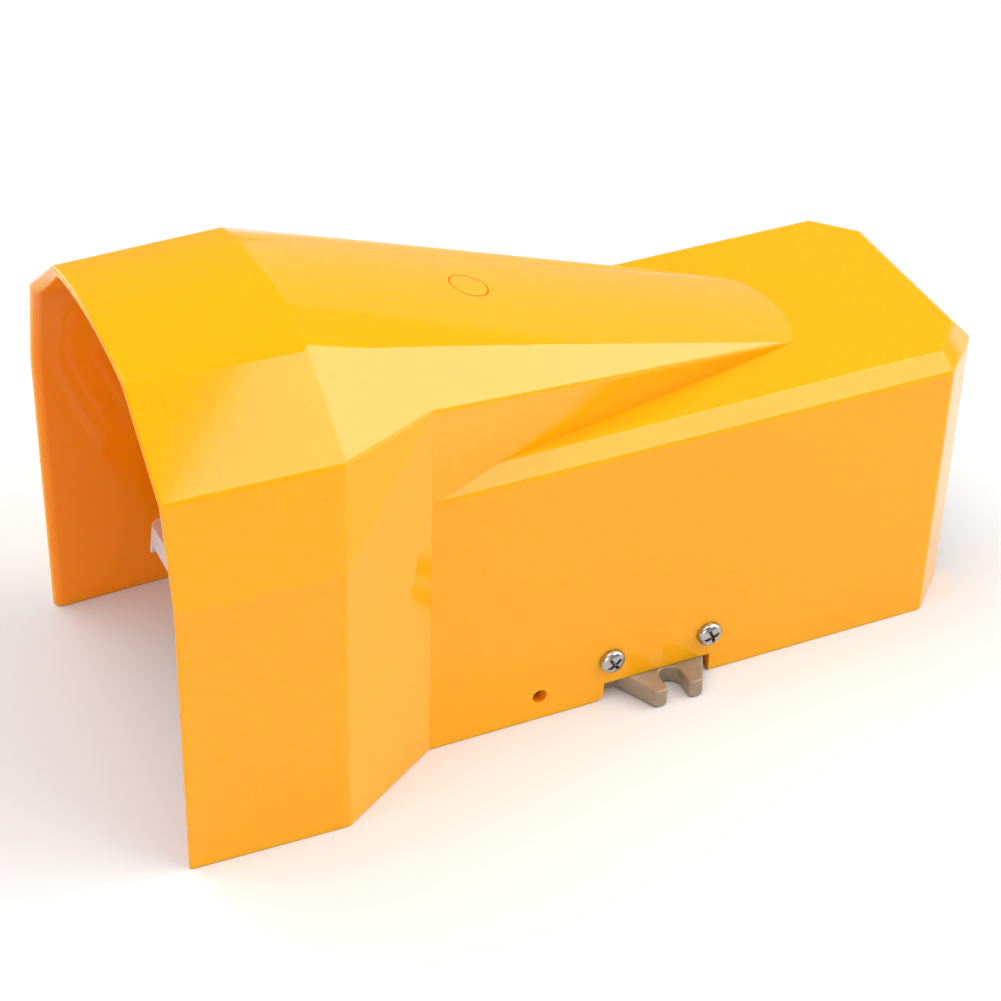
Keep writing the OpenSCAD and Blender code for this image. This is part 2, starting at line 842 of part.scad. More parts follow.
// Coil of round wire standing on Z = 0, closed at both ends, swept along its helix
module coil_spring(od, wire, turns, h) {
    sides = 8;
    turn_steps = 18;
    steps = turn_steps * turns;
    mid_r = (od - wire) / 2;
    rings = [
        for (i = [0 : steps]) for (j = [0 : sides - 1])
            let (a = 360 * turns * i / steps,
                 b = 360 * j / sides,
                 r = mid_r + wire / 2 * cos(b))
            [r * cos(a), r * sin(a), wire / 2 + (h - wire) * i / steps + wire / 2 * sin(b)]
    ];
    skin = [
        for (i = [0 : steps - 1]) for (j = [0 : sides - 1])
            let (k = (j + 1) % sides)
            [i * sides + k, i * sides + j, (i + 1) * sides + j, (i + 1) * sides + k]
    ];
    first = [for (j = [0 : sides - 1]) j];
    last = [for (j = [0 : sides - 1]) steps * sides + sides - 1 - j];
    polyhedron(rings, concat([first], skin, [last]));
}

module pedal_spring() {
    color("#9a9a9c")
        translate([0, spring_y, floor_t])
            coil_spring(spring_od, spring_wire, spring_turns, spring_seat_h - floor_t - touch_gap / 2);
}

// Rubber stops: behind under the arm for rest, in front under the neck for the pressed pedal
module stop_buffers() {
    press_tilt = pedal_turn - pedal_rise;
    press_z = pivot_h - (press_stop_l + buffer_l / 2) * sin(press_tilt) - neck_half_h * cos(press_tilt);
    rest_z = pivot_h - (arm_l + arm_half_h) * sin(pedal_rise) - arm_half_h * cos(pedal_rise);
    color("#2b2b2b") {
        translate([-neck_w / 2, pivot_y - press_stop_l - buffer_l / 2, floor_t])
            cube([neck_w, buffer_l, press_z - touch_gap - floor_t]);
        translate([-arm_w / 2, spool_y - buffer_l / 2, floor_t])
            cube([arm_w, buffer_l, rest_z - touch_gap - floor_t]);
    }
}

// Side of each port level that its port is on: three in the left column, two in the right
function port_side(i) = i % 2 == 0 ? -1 : 1;

module each_port() {
    for (i = [0 : ports - 1])
        translate([port_side(i) * port_columns / 2, 0, port_levels[i]])
            children();
}

// Slanting passages from the spool's bore to the rear face, one for each port
module port_passages() {
    run = housing_rear_y - spool_y;
    for (i = [0 : ports - 1])
        translate([0, spool_y, port_levels[i]])
            rotate([-90, 0, -port_side(i) * atan2(port_columns / 2, run)])
                cylinder(d = passage_d, h = norm([port_columns / 2, run]) + passage_d);
}

// Places children along +Y at the four screws that hold the port block
module at_block_screws(y) {
    both_sides()
        for (z = block_screw_zs)
            translate([valve_screw_x, y, z])
                rotate([-90, 0, 0])
                    children();
}

// Places children along +Z at four screws, at the same places along the part for base and cap
module at_valve_screws(x, z) {
    both_sides()
        for (y = valve_screw_ys)
            translate([x, y, z])
                children();
}

// Housing of the spool, with a ring groove in its bore at each port's level
module valve_body() {
    chamfer = 1;
    tap_l = valve_screw_bite + tap_spare;
    color("#a9adb2")
        difference() {
            translate([0, 0, seat_h])
                linear_extrude(valve_h)
                    polygon([
                        [-valve_w / 2, valve_y + chamfer], [chamfer - valve_w / 2, valve_y],
                        [valve_w / 2 - chamfer, valve_y], [valve_w / 2, valve_y + chamfer],
                        [valve_w / 2, housing_rear_y], [-valve_w / 2, housing_rear_y]
                    ]);
            translate([0, spool_y, seat_h - cut])
                cylinder(d = bore_d, h = valve_h + 2 * cut);
            for (z = port_levels)
                translate([0, spool_y, z - groove_h / 2])
                    cylinder(d = groove_d, h = groove_h);
            port_passages();
            at_valve_screws(valve_screw_x, seat_h - cut)
                cylinder(d = tap_d, h = tap_l + cut);
            at_valve_screws(cap_screw_x, valve_top - tap_l)
                cylinder(d = tap_d, h = tap_l + cut);
            at_block_screws(valve_y - cut)
                cylinder(d = screw_d + 2 * screw_clear, h = valve_d);
        }
}

// Block with the five threaded ports, each with a spot face for its fitting's seal
module port_block() {
    color("#a9adb2")
        difference() {
            translate([-valve_w / 2, block_y, seat_h])
                cube([valve_w, port_block_t, valve_h]);
            each_port() {
                translate([0, block_y - cut, 0])
                    rotate([-90, 0, 0])
                        cylinder(d = port_d, h = port_block_t + 2 * cut);
                translate([0, port_y - spotface_t, 0])
                    rotate([-90, 0, 0])
                        cylinder(d = spotface_d, h = spotface_t + cut);
            }
            at_block_screws(block_y - cut)
                cylinder(d = tap_d, h = valve_screw_bite + tap_spare + cut);
        }
}

module port_gasket() {
    color("#2f2f31")
        difference() {
            translate([cap_inset - valve_w / 2, housing_rear_y, seat_h + cap_inset])
                cube([valve_w - 2 * cap_inset, gasket_t, valve_h - 2 * cap_inset]);
            translate([0, housing_rear_y - cut, 0]) {
                each_port()
                    rotate([-90, 0, 0])
                        cylinder(d = port_d, h = gasket_t + 2 * cut);
                at_block_screws(0)
                    cylinder(d = screw_d + 2 * screw_clear, h = gasket_t + 2 * cut);
            }
        }
}

module port_block_screws() {
    color("#c9c9c4")
        at_block_screws(valve_y)
            mirror([0, 0, 1])
                pan_screw(block_y - valve_y + valve_screw_bite);
}

// Spool with evenly spaced lands, a seal groove in each, and a spring pocket in its top
module spool() {
    land_d = bore_d - 2 * spool_clear;
    color("#e2e2e4")
        translate([0, spool_y, spool_z])
            difference() {
                union() {
                    cylinder(d = spool_core_d, h = spool_l);
                    for (i = [0 : spool_lands - 1])
                        translate([0, 0, i * level_pitch])
                            cylinder(d = land_d, h = land_t);
                }
                for (i = [0 : spool_lands - 1])
                    translate([0, 0, i * level_pitch + land_t / 2])
                        rotate_extrude()
                            translate([seal_groove_d / 2, -seal_wire / 2 - seal_side_gap])
                                square([bore_d, seal_wire + 2 * seal_side_gap]);
                translate([0, 0, spool_l - pocket_l])
                    cylinder(d = pocket_d, h = pocket_l + cut);
            }
}

module spool_seals() {
    color("#1f1f20")
        for (i = [0 : spool_lands - 1])
            translate([0, spool_y, spool_z + i * level_pitch + land_t / 2])
                rotate_extrude()
                    translate([seal_groove_d / 2 + seal_wire / 2 + seal_lift, 0])
                        circle(d = seal_wire, $fn = 24);
}

module plunger() {
    color("#d8d8d8")
        translate([0, spool_y, plunger_z])
            cylinder(d = plunger_d, h = spool_z - plunger_z);
}

// Guide of the plunger, pressed into the bore's lower end, with a recess below for the wiper
module plunger_bush() {
    color("#b08d4a")
        translate([0, spool_y, seat_h])
            difference() {
                cylinder(d = bore_d, h = bush_h);
                translate([0, 0, -cut]) {
                    cylinder(r = plunger_d / 2 + spool_clear, h = bush_h + 2 * cut);
                    cylinder(r = plunger_d / 2 + seal_wall + seal_gap, h = seal_h + cut);
                }
            }
}

module plunger_seal() {
    color("#1f1f20")
        translate([0, spool_y, seat_h])
            difference() {
                cylinder(r = plunger_d / 2 + seal_wall, h = seal_h);
                translate([0, 0, -cut])
                    cylinder(r = plunger_d / 2 + seal_gap, h = seal_h + 2 * cut);
            }
}

module spool_spring() {
    foot = spool_z + spool_l - pocket_l;
    color("#9a9a9c")
        translate([0, spool_y, foot])
            coil_spring(spool_spring_od, spool_spring_wire, spool_spring_turns, valve_top + gasket_t - foot);
}

// Plate over the top of the housing, drawn up from zero
module cap_plate(t) {
    translate([cap_inset - valve_w / 2, valve_y + cap_inset, 0])
        cube([valve_w - 2 * cap_inset, housing_rear_y - valve_y - 2 * cap_inset, t]);
}

// Conical head of a flat screw, pointing down from its flush face at zero
module flat_head(extra) {
    translate([0, 0, -screw_d / 2])
        cylinder(d1 = screw_d + extra, d2 = 2 * screw_d + extra, h = screw_d / 2);
}

module top_cap() {
    color("#8f9398")
        difference() {
            translate([0, 0, valve_top + gasket_t])
                cap_plate(cap_t);
            at_valve_screws(cap_screw_x, valve_top + gasket_t + cap_t) {
                translate([0, 0, -cap_t - cut])
                    cylinder(d = screw_d + 2 * screw_clear, h = cap_t + 2 * cut);
                flat_head(2 * screw_clear);
            }
        }
}

module top_gasket() {
    color("#2f2f31")
        difference() {
            translate([0, 0, valve_top])
                cap_plate(gasket_t);
            translate([0, spool_y, valve_top - cut])
                cylinder(d = bore_d + 2 * gasket_relief, h = gasket_t + 2 * cut);
            at_valve_screws(cap_screw_x, valve_top - cut)
                cylinder(d = screw_d + 2 * screw_clear, h = gasket_t + 2 * cut);
        }
}

module top_cap_screws() {
    shank_l = cap_t + gasket_t + valve_screw_bite;
    color("#55585c")
        at_valve_screws(cap_screw_x, valve_top + gasket_t + cap_t)
            difference() {
                union() {
                    flat_head(0);
                    translate([0, 0, -shank_l])
                        cylinder(d = shank_d, h = shank_l - recess_depth);
                }
                cross_recess();
            }
}

module valve_screws() {
    color("#c9c9c4")
        at_valve_screws(valve_screw_x, head_sink)
            mirror([0, 0, 1])
                pan_screw(seat_h - head_sink + valve_screw_bite);
}

cover();
cover_screws();
base_casting();
pedal();
pivot_pin();
pivot_clips();
pivot_bushes();
contact_pin();
pedal_spring();
stop_buffers();
valve_body();
spool();
spool_seals();
plunger();
plunger_bush();
plunger_seal();
spool_spring();
top_cap();
top_gasket();
top_cap_screws();
valve_screws();
port_block();
port_gasket();
port_block_screws();
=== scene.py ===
# %% [markdown]
# # A guarded foot valve
# A pneumatic valve that stands on the floor of a workshop. A yellow moulded hood keeps falling things off
# the pedal, the pedal lifts the spool of a valve in the rear box, and a cast base carries it all.
# The construction comes in as fixed solids, in metres, with the floor at zero. This lesson gives every
# surface its finish, rounds the edges, and makes the screws, springs and threads as surfaces of two
# parameters.

# %% Load the measured solids
import json
import math

import bmesh
import bpy
import numpy as np
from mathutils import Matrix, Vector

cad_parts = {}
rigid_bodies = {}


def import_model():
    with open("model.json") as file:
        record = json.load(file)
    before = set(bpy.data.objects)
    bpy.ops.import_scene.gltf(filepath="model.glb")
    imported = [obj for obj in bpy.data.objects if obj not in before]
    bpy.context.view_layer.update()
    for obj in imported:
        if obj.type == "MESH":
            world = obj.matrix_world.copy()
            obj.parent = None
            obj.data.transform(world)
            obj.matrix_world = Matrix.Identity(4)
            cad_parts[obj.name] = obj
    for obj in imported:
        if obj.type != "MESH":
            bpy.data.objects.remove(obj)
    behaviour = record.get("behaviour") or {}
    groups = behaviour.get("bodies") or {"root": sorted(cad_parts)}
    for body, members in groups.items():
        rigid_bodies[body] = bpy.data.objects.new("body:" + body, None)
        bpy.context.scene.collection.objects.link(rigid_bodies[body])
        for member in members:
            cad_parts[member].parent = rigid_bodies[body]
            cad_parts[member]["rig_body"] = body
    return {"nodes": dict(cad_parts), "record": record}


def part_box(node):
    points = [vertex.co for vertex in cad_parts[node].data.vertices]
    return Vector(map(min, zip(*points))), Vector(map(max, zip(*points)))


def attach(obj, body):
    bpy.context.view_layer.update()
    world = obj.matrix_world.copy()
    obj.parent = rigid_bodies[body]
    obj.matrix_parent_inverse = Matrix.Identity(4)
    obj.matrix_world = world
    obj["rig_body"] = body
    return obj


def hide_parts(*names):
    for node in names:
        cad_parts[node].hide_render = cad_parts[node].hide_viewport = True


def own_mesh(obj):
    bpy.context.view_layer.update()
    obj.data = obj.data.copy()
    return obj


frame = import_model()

MM = 0.001
nodes = frame["nodes"]
scene = bpy.context.scene
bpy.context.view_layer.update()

# %% [markdown]
# ## The camera
# The photograph looks down on the right-hand side from in front of the crease. A camera could be turned by
# eye until it looks right, but the cover has sharp corners, so its place and lens were worked out from
# about twenty of them. The lens is long and the view is square, so nothing is shifted.

# %% Camera at the photograph's viewing angle
EYE = (0.55928, -0.27470, 0.51452)  # metres
EYE_TURN = (52.816, -1.344, 65.520)  # degrees about X, Y and Z
LENS = 100.577  # millimetres
SENSOR = 36.0  # millimetres

camera_data = bpy.data.cameras.new("photo_camera")
camera_data.sensor_width = SENSOR
camera_data.lens = LENS
camera = bpy.data.objects.new("photo_camera", camera_data)
camera.location = EYE
camera.rotation_euler = [math.radians(angle) for angle in EYE_TURN]
scene.collection.objects.link(camera)
scene.camera = camera
print("camera", EYE, "lens", LENS, "mm")

# %% [markdown]
# ## Helpers for surfaces
# Each new piece is a grid of points, worked out for all its points at once, and four neighbours make a
# face. Where a grid closes on itself its last row meets its first, and points that fall together at a pole
# are merged, so that every surface is closed.


# %% Grid surfaces
SHARP_FROM = math.radians(38)
MERGE_WITHIN = 1e-7


def grid_faces(rows, columns, around=False, first=0):
    """Quads of a grid numbered row by row: each joins a point, its right neighbour and the two above them.
    Around joins the last column to the first."""
    row = np.arange(rows - 1)[:, None]
    column = np.arange(columns if around else columns - 1)[None, :]
    after = (column + 1) % columns
    low = row * columns
    high = low + columns
    return first + np.stack([low + column, low + after, high + after, high + column], -1).reshape(-1, 4)


def new_piece(name, points, faces, finish, body, painted_shade=None):
    """Puts points and faces into a mesh, merges what falls together, turns all faces outwards and lets the
    piece ride on a body. An optional value per point sets the painted shade, from 0 on the outside to 1 deep
    in a recess, where the finish darkens the colour in place of real shade."""
    mesh = bpy.data.meshes.new(name)
    mesh.from_pydata(points.reshape(-1, 3).tolist(), [], faces.tolist())
    if painted_shade is not None:
        mesh.attributes.new("painted_shade", "FLOAT", "POINT").data.foreach_set("value", painted_shade.astype(np.float32))
    shape = bmesh.new()
    shape.from_mesh(mesh)
    bmesh.ops.remove_doubles(shape, verts=shape.verts, dist=MERGE_WITHIN)
    bmesh.ops.recalc_face_normals(shape, faces=shape.faces)
    shape.to_mesh(mesh)
    shape.free()
    mesh.polygons.foreach_set("use_smooth", np.ones(len(mesh.polygons), bool))
    mesh.set_sharp_from_angle(angle=SHARP_FROM)
    mesh.materials.append(finish)
    piece = bpy.data.objects.new(name, mesh)
    scene.collection.objects.link(piece)
    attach(piece, body)
    print(name, len(mesh.polygons), "faces")
    return piece


# %% [markdown]
# ## Floor and light
# A product is photographed on a white table under large soft lamps. The floor is a pale disc, wide enough
# to be seen in every reflection. A square sheet would do too, but a disc ends equally far on every side.

# %% Pale floor
FLOOR_R = 4.0
FLOOR_DROP = 0.0002


def floor_disc(radius, rings=2, sides=64):
    """Points of a flat disc: radius times the square root of one parameter, turned by the other."""
    reach = np.sqrt(np.linspace(0, 1, rings + 1))[:, None] * radius
    turn = np.linspace(0, 2 * math.pi, sides, endpoint=False)[None, :]
    height = np.full((rings + 1, sides), -FLOOR_DROP)
    return np.stack([reach * np.cos(turn), reach * np.sin(turn), height], -1)


floor_points = floor_disc(FLOOR_R)
floor_mesh = bpy.data.meshes.new("floor")
floor_mesh.from_pydata(
    floor_points.reshape(-1, 3).tolist(), [], grid_faces(*floor_points.shape[:2], around=True).tolist()
)
floor = bpy.data.objects.new("floor", floor_mesh)
scene.collection.objects.link(floor)
print("floor of", FLOOR_R, "m radius")

# %% [markdown]
# Glossy plastic shows its lamps as much as its own colour, so each lamp stands where a face mirrors it. One
# big box hangs overhead, one stands near the camera and lights the sides, one faces the ports, one the far
# side, and a faint one is mirrored by the crown. Two boxes behind on the right are mirrored by the facets
# and the bevels, which makes them pale: the edge of one is what ends in a soft line on the front facet.

# %% Soft lamps
MIDDLE = np.array([0.0, 0.0, 0.06])
AMBIENT = 0.26


def softbox(name, direction, distance, width, height, radiance):
    """A rectangular lamp that faces the middle of the object. Its power is its radiance times pi times its
    area."""
    data = bpy.data.lights.new(name, "AREA")
    data.shape = "RECTANGLE"
    data.size = width
    data.size_y = height
    data.energy = radiance * math.pi * width * height
    lamp = bpy.data.objects.new(name, data)
    scene.collection.objects.link(lamp)
    aim = np.array(direction) / np.linalg.norm(direction)
    lamp.location = MIDDLE + distance * aim
    lamp.rotation_euler = (math.acos(aim[2]), 0, math.atan2(aim[0], -aim[1]))
    print(name, "radiance", radiance)


softbox("overhead_box", (-0.11, -0.33, 0.94), distance=1.6, width=1.4, height=1.4, radiance=3.15)
softbox("camera_side_box", (0.80, -0.62, 0.30), distance=1.8, width=1.1, height=0.9, radiance=2.8)
softbox("facet_box", (0.359, 0.533, 0.766), distance=1.5, width=1.36, height=0.975, radiance=3.6)
softbox("long_facet_box", (0.184, 0.778, 0.60), distance=1.45, width=0.55, height=0.5, radiance=2.3)
softbox("port_side_box", (0.25, 0.93, 0.20), distance=1.8, width=1.2, height=0.8, radiance=2.2)
softbox("crown_box", (-0.67, 0.71, 0.22), distance=2.0, width=1.7, height=1.25, radiance=0.35)
softbox("far_side_box", (-0.908, -0.33, 0.26), distance=1.8, width=1.2, height=0.9, radiance=2.8)

world = bpy.data.worlds.new("studio")
world.use_nodes = True
world.node_tree.nodes["Background"].inputs["Color"].default_value = (AMBIENT, AMBIENT, AMBIENT, 1)
scene.world = world
scene.view_settings.view_transform = "Standard"

# %% [markdown]
# ## Finishes
# No real surface is even all over. Pictures of surfaces would have to be unwrapped and would show seams,
# so every finish is a pattern in space, read from the object's own coordinates, which stays on the piece
# when a joint moves. One noise shifts the colour a little, one the gloss, and one raises the surface.
# What is the same all over is set on the shader itself.


# %% Parts of a finish
NOISE_LOW = 0.3
NOISE_HIGH = 0.7


def noise(tree, scale, detail, stretch=(1, 1, 1)):
    """Noise on Object coordinates, with scale waves per metre, more along an axis that is stretched."""
    place = tree.nodes.new("ShaderNodeTexCoord")
    fit = tree.nodes.new("ShaderNodeMapping")
    fit.inputs["Scale"].default_value = stretch
    pattern = tree.nodes.new("ShaderNodeTexNoise")
    pattern.inputs["Scale"].default_value = scale
    pattern.inputs["Detail"].default_value = detail
    tree.links.new(place.outputs["Object"], fit.inputs["Vector"])
    tree.links.new(fit.outputs["Vector"], pattern.inputs["Vector"])
    return pattern.outputs["Fac"]


def tint(tree, shader, value, dark, light, painted_shade_tone=None):
    """Colour between two tones, by a noise value. The painted shade tone, where given, is what the colour
    sinks to where a piece's painted shade value is high: a colour painted in place of the shade in a recess
    and of the light that bounces inside the hood."""
    mix = tree.nodes.new("ShaderNodeMix")
    mix.data_type = "RGBA"
    mix.inputs["A"].default_value = (*dark, 1)
    mix.inputs["B"].default_value = (*light, 1)
    tree.links.new(value, mix.inputs["Factor"])
    # Painted shade: the colour sinks to a darker tone by a value on the mesh, in place of real shade.
    if painted_shade_tone:
        painted_shade = tree.nodes.new("ShaderNodeAttribute")
        painted_shade.attribute_name = "painted_shade"
        painted_shade_mix = tree.nodes.new("ShaderNodeMix")
        painted_shade_mix.data_type = "RGBA"
        painted_shade_mix.inputs["B"].default_value = (*painted_shade_tone, 1)
        tree.links.new(painted_shade.outputs["Fac"], painted_shade_mix.inputs["Factor"])
        tree.links.new(mix.outputs["Result"], painted_shade_mix.inputs["A"])
        mix = painted_shade_mix
    tree.links.new(mix.outputs["Result"], shader.inputs["Base Color"])


def gloss(tree, shader, value, low, high):
    """Roughness between two values, by the middle part of a noise value."""
    spread = tree.nodes.new("ShaderNodeMapRange")
    spread.inputs["From Min"].default_value = NOISE_LOW
    spread.inputs["From Max"].default_value = NOISE_HIGH
    spread.inputs["To Min"].default_value = low
    spread.inputs["To Max"].default_value = high
    tree.links.new(value, spread.inputs["Value"])
    tree.links.new(spread.outputs["Result"], shader.inputs["Roughness"])


def relief(tree, shader, layers):
    """Bump from layers of noise, each with its depth in metres; one layer's normal feeds the next."""
    normal = None
    for value, depth in layers:
        bump = tree.nodes.new("ShaderNodeBump")
        bump.inputs["Distance"].default_value = depth
        tree.links.new(value, bump.inputs["Height"])
        if normal:
            tree.links.new(normal, bump.inputs["Normal"])
        normal = bump.outputs["Normal"]
    tree.links.new(normal, shader.inputs["Normal"])


# %% [markdown]
# The finishes differ in their numbers only. Each could have a function of its own, but one function that
# takes the three noises makes them easy to compare.


# %% A whole finish
def finish_of(name, drift, dark, light, haze, low, high, grain=(), painted_shade_tone=None, **constants):
    """A material from three noises, each given by its waves per metre and its detail. Drift shifts the
    colour between a dark and a light tone, haze the roughness between low and high, and each layer of
    grain raises the surface by its depth. Constants go to the shader's own sockets."""
    finish = bpy.data.materials.new(name)
    finish.use_nodes = True
    tree = finish.node_tree
    shader = tree.nodes["Principled BSDF"]
    for socket, value in constants.items():
        shader.inputs[socket.replace("_", " ")].default_value = value
    tint(tree, shader, noise(tree, *drift), dark, light, painted_shade_tone)
    gloss(tree, shader, noise(tree, *haze), low, high)
    if grain:
        relief(tree, shader, [(noise(tree, *waves), depth) for waves, depth in grain])
    print("finish", name)
    return finish


# %% [markdown]
# The hood is glossy moulded plastic, coloured right through. Its colour drifts a little where the melt
# flowed, its faces are not quite flat, and a fine haze makes reflections soft. Inside, most of the light
# has been through or off the plastic before, and each pass takes out more green than red, so the inner
# faces get a deeper painted tone that stands in for that light.

# %% Hood plastic
# Painted light and shade: the deeper tone of the hood's inner faces stands in for light that has passed
# through or off the plastic.
INSIDE_PAINTED_SHADE = (0.98, 0.285, 0.0004)

hood_plastic = finish_of(
    "hood_plastic",
    drift=(16, 3),
    dark=(0.97, 0.375, 0.0005),
    light=(0.99, 0.415, 0.001),
    painted_shade_tone=INSIDE_PAINTED_SHADE,
    haze=(45, 4),
    low=0.04,
    high=0.08,
    grain=[((24, 1), 0.06 * MM), ((1500, 2), 0.002 * MM)],
    IOR=1.4,
    Subsurface_Weight=0.6,
    Subsurface_Radius=(1.0, 0.2, 0.03),
    Subsurface_Scale=3 * MM,
)

# %% [markdown]
# The base and its lugs are cast light alloy under a thin champagne-coloured coat, with a fine grain from
# the mould. The pedal is the same casting left bare, and dull enough to stay pale beside the hood.

# %% Cast metals
coated_casting = finish_of(
    "coated_casting",
    drift=(380, 4),
    dark=(0.29, 0.218, 0.145),
    light=(0.38, 0.29, 0.195),
    haze=(90, 4),
    low=0.38,
    high=0.52,
    grain=[((700, 3), 0.03 * MM)],
    Metallic=0.35,
)
bare_casting = finish_of(
    "bare_casting",
    drift=(300, 4),
    dark=(0.66, 0.68, 0.71),
    light=(0.80, 0.82, 0.85),
    haze=(120, 4),
    low=0.34,
    high=0.50,
    grain=[((600, 3), 0.03 * MM)],
    Metallic=0.5,
)

# %% [markdown]
# The valve's blocks are milled from bar, so their grain runs along X in fine lines: the noise is stretched
# across the lines. Pins and screws are bright steel, with a darker tone painted deep in a recess as painted
# shade. Springs are drawn wire, and the retaining rings are blackened.

# %% Machined metals
milled_alloy = finish_of(
    "milled_alloy",
    drift=(60, 3),
    dark=(0.50, 0.52, 0.54),
    light=(0.62, 0.63, 0.65),
    haze=(40, 4, (0.4, 12, 12)),
    low=0.24,
    high=0.42,
    grain=[((60, 3, (0.3, 40, 40)), 0.006 * MM)],
    Metallic=1.0,
)
bright_steel = finish_of(
    "bright_steel",
    drift=(500, 3),
    dark=(0.38, 0.37, 0.36),
    light=(0.54, 0.53, 0.51),
    # Painted shade: the screws' recesses sink to this dark tone by their depth, in place of real shade.
    painted_shade_tone=(0.20, 0.19, 0.18),
    haze=(700, 3),
    low=0.20,
    high=0.34,
    grain=[((1500, 2), 0.006 * MM)],
    Metallic=1.0,
)
spring_steel = finish_of(
    "spring_wire",
    drift=(400, 3),
    dark=(0.26, 0.26, 0.27),
    light=(0.42, 0.42, 0.43),
    haze=(900, 3),
    low=0.22,
    high=0.40,
    grain=[((2000, 2), 0.004 * MM)],
    Metallic=1.0,
)
blackened_steel = finish_of(
    "blackened_steel",
    drift=(600, 3),
    dark=(0.025, 0.025, 0.027),
    light=(0.06, 0.06, 0.062),
    haze=(800, 3),
    low=0.35,
    high=0.55,
    grain=[((1800, 2), 0.006 * MM)],
    Metallic=0.8,
)

# %% [markdown]
# The bushes are pressed from bronze powder, so their grain is coarse for their size. Stops, gaskets and
# seals are dull black rubber, and the floor is a plain pale sheet with no grain at all.

# %% Bronze, rubber and the floor
sintered_bronze = finish_of(
    "sintered_bronze",
    drift=(1500, 4),
    dark=(0.36, 0.22, 0.08),
    light=(0.60, 0.41, 0.17),
    haze=(900, 3),
    low=0.32,
    high=0.5,
    grain=[((2500, 3), 0.012 * MM)],
    Metallic=1.0,
)
black_rubber = finish_of(
    "black_rubber",
    drift=(200, 4),
    dark=(0.012, 0.012, 0.012),
    light=(0.028, 0.028, 0.027),
    haze=(300, 3),
    low=0.55,
    high=0.78,
    grain=[((1600, 3), 0.015 * MM)],
    IOR=1.52,
)
pale_floor = finish_of(
    "pale_floor",
    drift=(6, 2),
    dark=(0.74, 0.74, 0.74),
    light=(0.76, 0.76, 0.76),
    haze=(30, 2),
    low=0.6,
    high=0.7,
    IOR=1.4,
)
floor_mesh.materials.append(pale_floor)

# %% [markdown]
# ## Rounded edges
# No moulded or cast edge is perfectly sharp: a radius under a millimetre catches a thin line of light. A
# bevel on the solids themselves would touch loose triangles, so a copy is merged, its flat triangles are
# fused into whole faces, and only the edges that turn sharply get a bevel.


# %% Which edges are rounded
LEAN_BACK = 0.2  # of a unit normal's Y
LEAN_UP = 0.7  # of a unit normal's Z


def zone(low, high):
    """A box between two corners that are given in millimetres."""
    return np.array(low) * MM, np.array(high) * MM


def inside(point, zones):
    """Whether a point lies in one of some boxes."""
    return any(all(least < v < most for least, v, most in zip(low, point, high)) for low, high in zones)


def edge_middle(edge):
    """The point halfway along an edge."""
    return (edge.verts[0].co + edge.verts[1].co) / 2


def weigh_edges(shape, sharp, above, spare, full, share):
    """Gives each edge its share of the rounding. Edges below a height, in a spare box, in a hollow corner or
    between two faces that both lean up and back get none. Where full picks some edges, the rest get a
    share."""
    weight = shape.edges.layers.float.new("bevel_weight_edge")
    for edge in shape.edges:
        middle = edge_middle(edge)
        leaning = all(face.normal.y > LEAN_BACK and face.normal.z > LEAN_UP for face in edge.link_faces)
        fine = middle.z < above or leaning or inside(middle, spare)
        turned = edge.calc_face_angle(0) > math.radians(sharp)
        rounded = turned and edge.is_convex and not fine
        wide = full is None or full(edge)
        edge[weight] = (1.0 if wide else share) if rounded else 0.0
        edge.smooth = rounded or not turned


# %% [markdown]
# A bevel modifier reads those shares. The rounding could be cut into the mesh at once, but in a modifier
# its width stays a single number. Weighted normals then keep the wide faces flat: without them, the
# shading of a rounding would run out over the whole face beside it.

# %% Softened copies of the solids
SEAM = 1e-6
FLAT_WITHIN = math.radians(0.4)
ROUND_STEPS = 3
FLAT_FACE_WEIGHT = 50


def merged_copy(source, weld, above, spare):
    """A solid's triangles, joined at their corners and fused into flat faces. Weld also joins corners above
    a height, outside the spare boxes, that lie closer than that."""
    shape = bmesh.new()
    shape.from_mesh(source.data)
    bmesh.ops.remove_doubles(shape, verts=shape.verts, dist=SEAM)
    bmesh.ops.dissolve_limit(shape, angle_limit=FLAT_WITHIN, verts=shape.verts, edges=shape.edges)
    if weld:
        coarse = [vert for vert in shape.verts if vert.co.z > above and not inside(vert.co, spare)]
        bmesh.ops.remove_doubles(shape, verts=coarse, dist=weld)
    return shape


def round_edges(piece, radius):
    """Rounds the edges of a piece by their shares of a radius, and keeps its wide faces flat."""
    bevel = piece.modifiers.new("rounded_edges", "BEVEL")
    bevel.width = radius
    bevel.segments = ROUND_STEPS
    bevel.limit_method = "WEIGHT"
    bevel.use_clamp_overlap = False
    even = piece.modifiers.new("flat_faces_stay_flat", "WEIGHTED_NORMAL")
    even.weight = FLAT_FACE_WEIGHT
    even.keep_sharp = True


def softened(node, name, finish, radius, sharp=28, weld=0.0, above=-1.0, spare=(), full=None, share=1.0):
    """A merged copy of a solid whose outer edges carry a rounding of a given width. Sharp is the least turn
    of such an edge in degrees; the rest says which corners are joined and which edges stay as they are."""
    source = nodes[node]
    shape = merged_copy(source, weld, above, spare)
    weigh_edges(shape, sharp, above, spare, full, share)
    mesh = bpy.data.meshes.new(name)
    shape.to_mesh(mesh)
    shape.free()
    if "custom_normal" in mesh.attributes:
        mesh.attributes.remove(mesh.attributes["custom_normal"])
    mesh.polygons.foreach_set("use_smooth", np.ones(len(mesh.polygons), bool))
    mesh.materials.clear()
    mesh.materials.append(finish)
    piece = bpy.data.objects.new(name, mesh)
    scene.collection.objects.link(piece)
    round_edges(piece, radius)
    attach(piece, source["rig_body"])
    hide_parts(node)
    print(name, len(mesh.polygons), "faces before rounding")
    return piece


